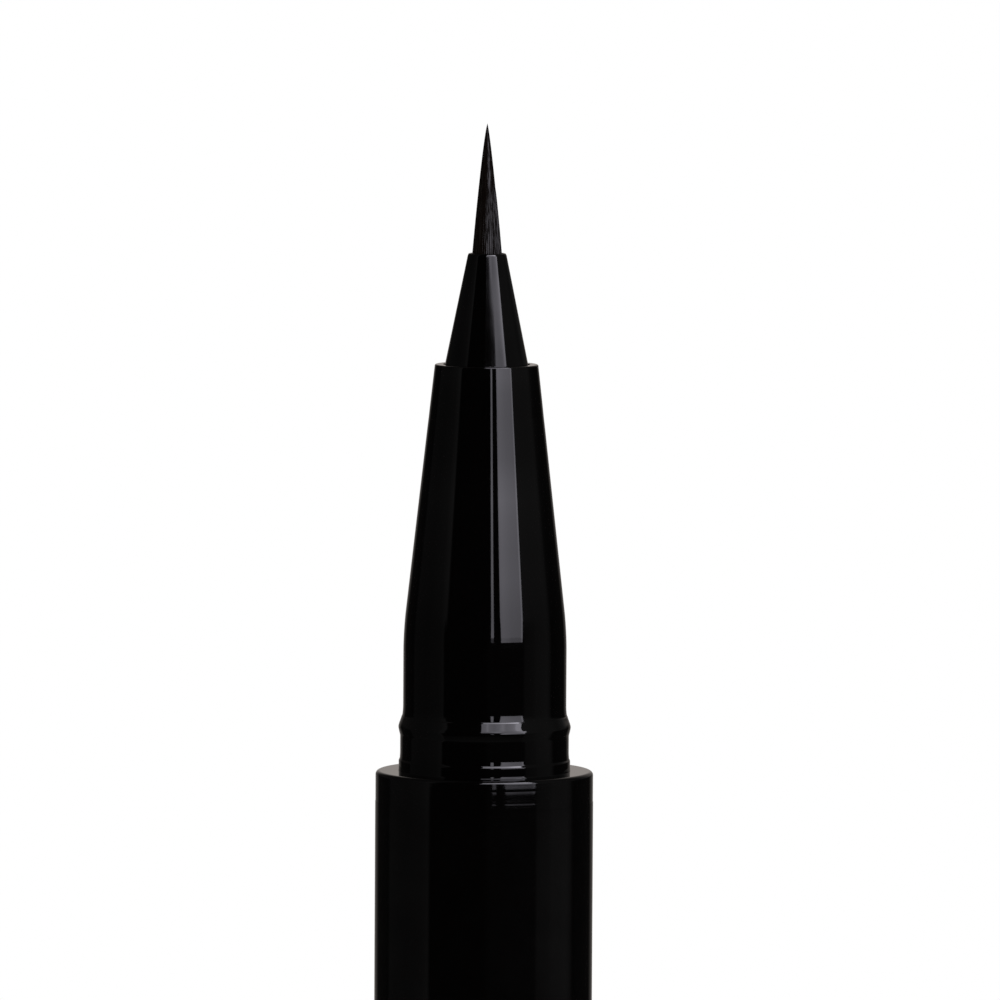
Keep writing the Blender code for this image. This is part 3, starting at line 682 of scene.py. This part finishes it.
plug += [
    (LAND_RADIUS, spigot_end, PLUG_END_EDGE),
    (0, spigot_end),
    (0, spigot_end + PLUG_END_WALL),
    (PLUG_FOOT - PLUG_WALL, spigot_end + PLUG_END_WALL),
]
tail = lathe("tail_end_plug", lifted(plug, rear_shoulder))
tail.data.materials.append(smooth_finish("tail black", BLACK, BARREL_ROUGHNESS))
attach(tail, "pen")
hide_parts("tail_plug")


# Outer cap: a plain black cap with a rounded end, here pushed onto the tail. Inside its
# mouth are the ridge that snaps over the bead and the lip that keeps the inner cap in.
CAP_BORE = 0.004365
CAP_DEEP_BORE = 0.0040
CAP_MOUTH_EDGE = 0.00015
CAP_END_EDGE = 0.0008
CAP_END_WALL = 0.0015
SNAP_RIDGE_DEPTH = 0.00122
SNAP_RIDGE_LENGTH = 0.0005
SNAP_RIDGE_HEIGHT = 0.00004
INNER_CAP_DEPTH = 0.0110
RETAINER_BORE = 0.0041
RETAINER_HEIGHT = 0.0008
RETAINER_GAP = 0.0001
CAP_STEP_DEPTH = 0.0131

cap_low, cap_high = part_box("outer_cap")
cap_mouth = cap_high.z
retainer_base = cap_mouth - INNER_CAP_DEPTH + RETAINER_GAP
ridge = cap_mouth - SNAP_RIDGE_DEPTH
cap = lathe("cap_shell", [
    (CAP_BORE, cap_mouth, CAP_MOUTH_EDGE),
    (cap_high.x, cap_mouth, CAP_MOUTH_EDGE),
    (cap_high.x, cap_low.z, CAP_END_EDGE),
    (0, cap_low.z),
    (0, cap_low.z + CAP_END_WALL),
    (CAP_DEEP_BORE, cap_low.z + CAP_END_WALL),
    (CAP_DEEP_BORE, cap_mouth - CAP_STEP_DEPTH),
    (CAP_BORE, cap_mouth - CAP_STEP_DEPTH),
    (CAP_BORE, retainer_base),
    (RETAINER_BORE, retainer_base),
    (RETAINER_BORE, retainer_base + RETAINER_HEIGHT / 2),
    (CAP_BORE, retainer_base + RETAINER_HEIGHT),
    (CAP_BORE, ridge - SNAP_RIDGE_LENGTH / 2),
    (CAP_BORE - SNAP_RIDGE_HEIGHT, ridge, SNAP_RIDGE_LENGTH / 8),
    (CAP_BORE, ridge + SNAP_RIDGE_LENGTH / 2),
])
cap.data.materials.append(smooth_finish("cap black", BLACK, BARREL_ROUGHNESS))
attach(cap, "cap")
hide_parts("outer_cap")


# Inner cap and its spring: a milky polypropylene cup, which closes over the brush when the cap
# is on the nose, and the small coil of bright steel wire that presses it on the section's cone.
dress("inner_cap", milky_finish)
dress("inner_cap_spring", steel_finish)


# Floor: a pale round table top, which fades into the white room at its rim. It keeps the
# pen's shadow, and shows as a dim pale surface in the pen's gloss.
FLOOR_RADIUS = 0.35
FLOOR_SIDES = 96
FLOOR_FADE_START = 0.12
FLOOR_COLOUR = (0.90, 0.90, 0.90)
FLOOR_IN_GLOSS = 0.06

disc = bmesh.new()
bmesh.ops.create_circle(disc, cap_ends=True, segments=FLOOR_SIDES, radius=FLOOR_RADIUS)
floor = as_piece("floor", disc)
floor_finish = bpy.data.materials.new("floor")
floor_finish.use_nodes = True
tree = floor_finish.node_tree
tree.nodes.remove(tree.nodes["Principled BSDF"])
rays = tree.nodes.new("ShaderNodeLightPath").outputs
matt = shader_node(tree, "ShaderNodeBsdfDiffuse", {"Color": (*FLOOR_COLOUR, 1)})
dim = shader_node(tree, "ShaderNodeEmission", {"Strength": FLOOR_IN_GLOSS})
seen = shader_node(tree, "ShaderNodeMixShader", {
    "Fac": rays["Is Glossy Ray"], 1: matt.outputs["BSDF"], 2: dim.outputs["Emission"],
})
place = tree.nodes.new("ShaderNodeTexCoord").outputs["Object"]
distance = shader_node(tree, "ShaderNodeVectorMath", {0: place}, operation="LENGTH")
fade = ranged(
    tree, distance.outputs["Value"], (FLOOR_FADE_START, FLOOR_RADIUS),
    interpolation_type="SMOOTHSTEP",
)
clear = tree.nodes.new("ShaderNodeBsdfTransparent")
rim = shader_node(tree, "ShaderNodeMixShader", {
    "Fac": fade, 1: seen.outputs["Shader"], 2: clear.outputs["BSDF"],
})
tree.links.new(rim.outputs["Shader"], tree.nodes["Material Output"].inputs["Surface"])
floor.data.materials.append(floor_finish)


# Lights: flat panels in one upright plane to the right of the camera: a softbox brighter along
# its far edge, a narrow strip beside it, and a wide panel above in three bands, the highest the
# brightest. Each is drawn as (distance to the right, height), and lit along one of the two.
LIGHT_DISTANCE = 0.9
LIGHT_FACING = math.radians(20)
LIGHT_COLOUR = (0.99, 0.96, 1.08)
LOW_PANEL_TOP = 0.600
MID_PANEL_TOP = 0.880
PANEL_TOP = 1.60
PANELS = (
    ("softbox", "X", ((0.02, 2.1), (0.10, 2.2), (0.30, 1.9), (0.62, 1.7)), (
        (0.045, 0.1460), (0.300, 0.1452), (0.563, 0.1405), (0.602, 0.285), (0.632, 0.478),
        (0.360, 0.470), (0.120, 0.464), (0.060, 0.448), (0.020, 0.420), (0.020, 0.300),
        (0.028, 0.250),
    )),
    ("softbox_edge", "X", ((0.56, 2.5), (0.70, 2.5)), (
        (0.563, 0.1405), (0.622, 0.1385), (0.662, 0.285), (0.672, 0.480), (0.632, 0.478),
        (0.602, 0.285),
    )),
    ("strip_light", "Z", ((0.14, 2.1), (0.42, 1.5)), (
        (-0.185, 0.1530), (-0.118, 0.1530), (-0.124, 0.420), (-0.170, 0.420),
    )),
    ("low_panel", "X", (
        (-0.42, 1.5), (-0.20, 1.7), (-0.10, 2.2), (0.02, 2.3), (0.12, 1.7),
        (0.30, 1.9), (0.50, 2.4), (0.60, 3.1), (0.70, 3.6), (0.76, 3.0),
    ), (
        (-0.420, 0.522), (-0.260, 0.5015), (-0.095, 0.4810), (-0.020, 0.4745), (0.030, 0.471),
        (0.120, 0.464), (0.360, 0.470), (0.690, 0.480), (0.700, 0.490), (0.760, 0.530),
        (0.760, LOW_PANEL_TOP), (-0.420, LOW_PANEL_TOP),
    )),
    ("mid_panel", "X", (
        (-0.41, 1.7), (-0.30, 1.9), (-0.25, 2.6), (-0.20, 1.9), (-0.08, 1.7), (0.04, 2.1),
        (0.11, 2.7), (0.20, 2.0), (0.32, 2.3), (0.42, 2.7), (0.47, 4.0), (0.59, 3.9), (0.64, 3.2),
    ), (
        (-0.410, LOW_PANEL_TOP), (0.640, LOW_PANEL_TOP),
        (0.640, MID_PANEL_TOP), (-0.410, MID_PANEL_TOP),
    )),
    ("high_panel", "X", ((-0.38, 3), (0, 4.5), (0.30, 6), (0.50, 8), (0.76, 8)), (
        (-0.370, MID_PANEL_TOP), (0.760, MID_PANEL_TOP), (0.760, PANEL_TOP), (-0.370, PANEL_TOP),
    )),
)


def calculated(tree, operation, *values):
    """The result of one sum on plain numbers and on what other nodes give."""
    inputs = dict(enumerate(values))
    return shader_node(tree, "ShaderNodeMath", inputs, operation=operation).outputs["Value"]


for name, axis, levels, outline in PANELS:
    sheet = bmesh.new()
    sheet.faces.new([sheet.verts.new((right, 0, height)) for right, height in outline])
    bmesh.ops.triangulate(sheet, faces=sheet.faces)
    panel = as_piece(name, sheet)
    panel.location = (
        LIGHT_DISTANCE * math.sin(LIGHT_FACING), -LIGHT_DISTANCE * math.cos(LIGHT_FACING), 0
    )
    panel.rotation_euler = (0, 0, LIGHT_FACING)
    glow = bpy.data.materials.new(name)
    glow.use_nodes = True
    tree = glow.node_tree
    tree.nodes.remove(tree.nodes["Principled BSDF"])
    brightest = max(level for spot, level in levels)
    stops = [(spot, [level / brightest] * 3) for spot, level in levels]
    shades = graded(tree, own_axis(tree, axis), stops)
    lit = shader_node(tree, "ShaderNodeEmission", {
        "Color": (*LIGHT_COLOUR, 1), "Strength": calculated(tree, "MULTIPLY", shades, brightest),
    })
    tree.links.new(lit.outputs["Emission"], tree.nodes["Material Output"].inputs["Surface"])
    panel.data.materials.append(glow)
    panel.visible_camera = False
    panel.visible_shadow = False


# Room: white to the camera, and even and soft on matt surfaces. In the pen's gloss it is a dark
# studio with dim side walls and a pale backdrop. Its levels are listed by the angle round the
# pen, once for level and downward reflections, and once for those that the cones throw upward.
ROOM_ON_MATT = 0.60
LEVEL_ROOM = (
    (-180, 0.42), (-166, 0.15), (-158, 0.09), (-154, 0.045), (-149, 0.008), (-121, 0.008),
    (-118, 0.026), (-90, 0.034), (-68, 0.050), (-61, 0.070), (-59, 0.004), (1, 0.004),
    (5, 0.014), (56, 0.014), (58, 0.050), (74, 0.062), (77, 0.074), (98, 0.072),
    (104, 0.048), (109, 0.008), (119, 0.008), (149, 0.008), (154, 0.045), (159, 0.095),
    (166, 0.15), (180, 0.42),
)
RAISED_ROOM = (
    (-180, 0.42), (-160, 0.080), (-155, 0.045), (-149, 0.020), (-120, 0.026), (-90, 0.036),
    (-68, 0.055), (-58, 0.095), (-55, 0.004), (56, 0.004), (58, 0.095), (100, 0.070),
    (120, 0.035), (135, 0.050), (140, 0.074), (146, 0.10), (153, 0.17), (165, 0.19),
    (180, 0.42),
)
LEVEL_LIMIT = math.sin(math.radians(1))
RAISED_LIMIT = math.sin(math.radians(7))
WARM = (1.08, 0.99, 0.93)
NEUTRAL = (1, 1, 1)
BACKDROP_ANGLE = 140


def by_angle(tree, levels, angle):
    """The room's colour over the angle round the pen, warm on the backdrop behind it."""
    stops = []
    for degrees, level in levels:
        tint = WARM if abs(degrees) > BACKDROP_ANGLE else NEUTRAL
        stops.append((degrees, [level * part for part in tint]))
    return graded(tree, angle, stops)


world = bpy.data.worlds.new("room")
bpy.context.scene.world = world
world.use_nodes = True
tree = world.node_tree
direction = tree.nodes.new("ShaderNodeTexCoord").outputs["Generated"]
parts = shader_node(tree, "ShaderNodeSeparateXYZ", {"Vector": direction}).outputs
ahead = calculated(tree, "MULTIPLY", parts["Y"], -1)
bearing = calculated(tree, "DEGREES", calculated(tree, "ARCTAN2", parts["X"], ahead))
raised = ranged(tree, parts["Z"], (LEVEL_LIMIT, RAISED_LIMIT), interpolation_type="SMOOTHSTEP")
level_colour = by_angle(tree, LEVEL_ROOM, bearing)
raised_colour = by_angle(tree, RAISED_ROOM, bearing)
in_gloss = mixed(tree, raised, level_colour, raised_colour)
on_matt = (ROOM_ON_MATT, ROOM_ON_MATT, ROOM_ON_MATT, 1)
rays = tree.nodes.new("ShaderNodeLightPath").outputs
on_pieces = mixed(tree, rays["Is Glossy Ray"], on_matt, in_gloss)
straight = calculated(tree, "MAXIMUM", rays["Is Camera Ray"], rays["Is Transmission Ray"])
room = mixed(tree, straight, on_pieces, (*NEUTRAL, 1))
tree.links.new(room, tree.nodes["Background"].inputs["Color"])


# Camera: a long lens a little above the nose and tilted slightly down, rolled by the
# third of a degree by which the pen leans in the picture.
CAMERA_DISTANCE = 0.54
CAMERA_HEIGHT = 0.188
AIM_HEIGHT = 0.14718
AIM_ASIDE = 0.00070
CAMERA_ROLL = math.radians(0.325)
SENSOR_WIDTH = 36
LENS = 394.4

camera_data = bpy.data.cameras.new("camera")
camera_data.sensor_width = SENSOR_WIDTH
camera_data.lens = LENS
camera = bpy.data.objects.new("camera", camera_data)
bpy.context.scene.collection.objects.link(camera)
camera.location = (AIM_ASIDE, -CAMERA_DISTANCE, CAMERA_HEIGHT)
sight = Vector((0, CAMERA_DISTANCE, AIM_HEIGHT - CAMERA_HEIGHT))
camera.rotation_mode = "QUATERNION"
camera.rotation_quaternion = (
    sight.to_track_quat("-Z", "Y") @ Quaternion((0, 0, 1), CAMERA_ROLL)
)
bpy.context.scene.camera = camera
bpy.context.scene.view_settings.view_transform = "Standard"
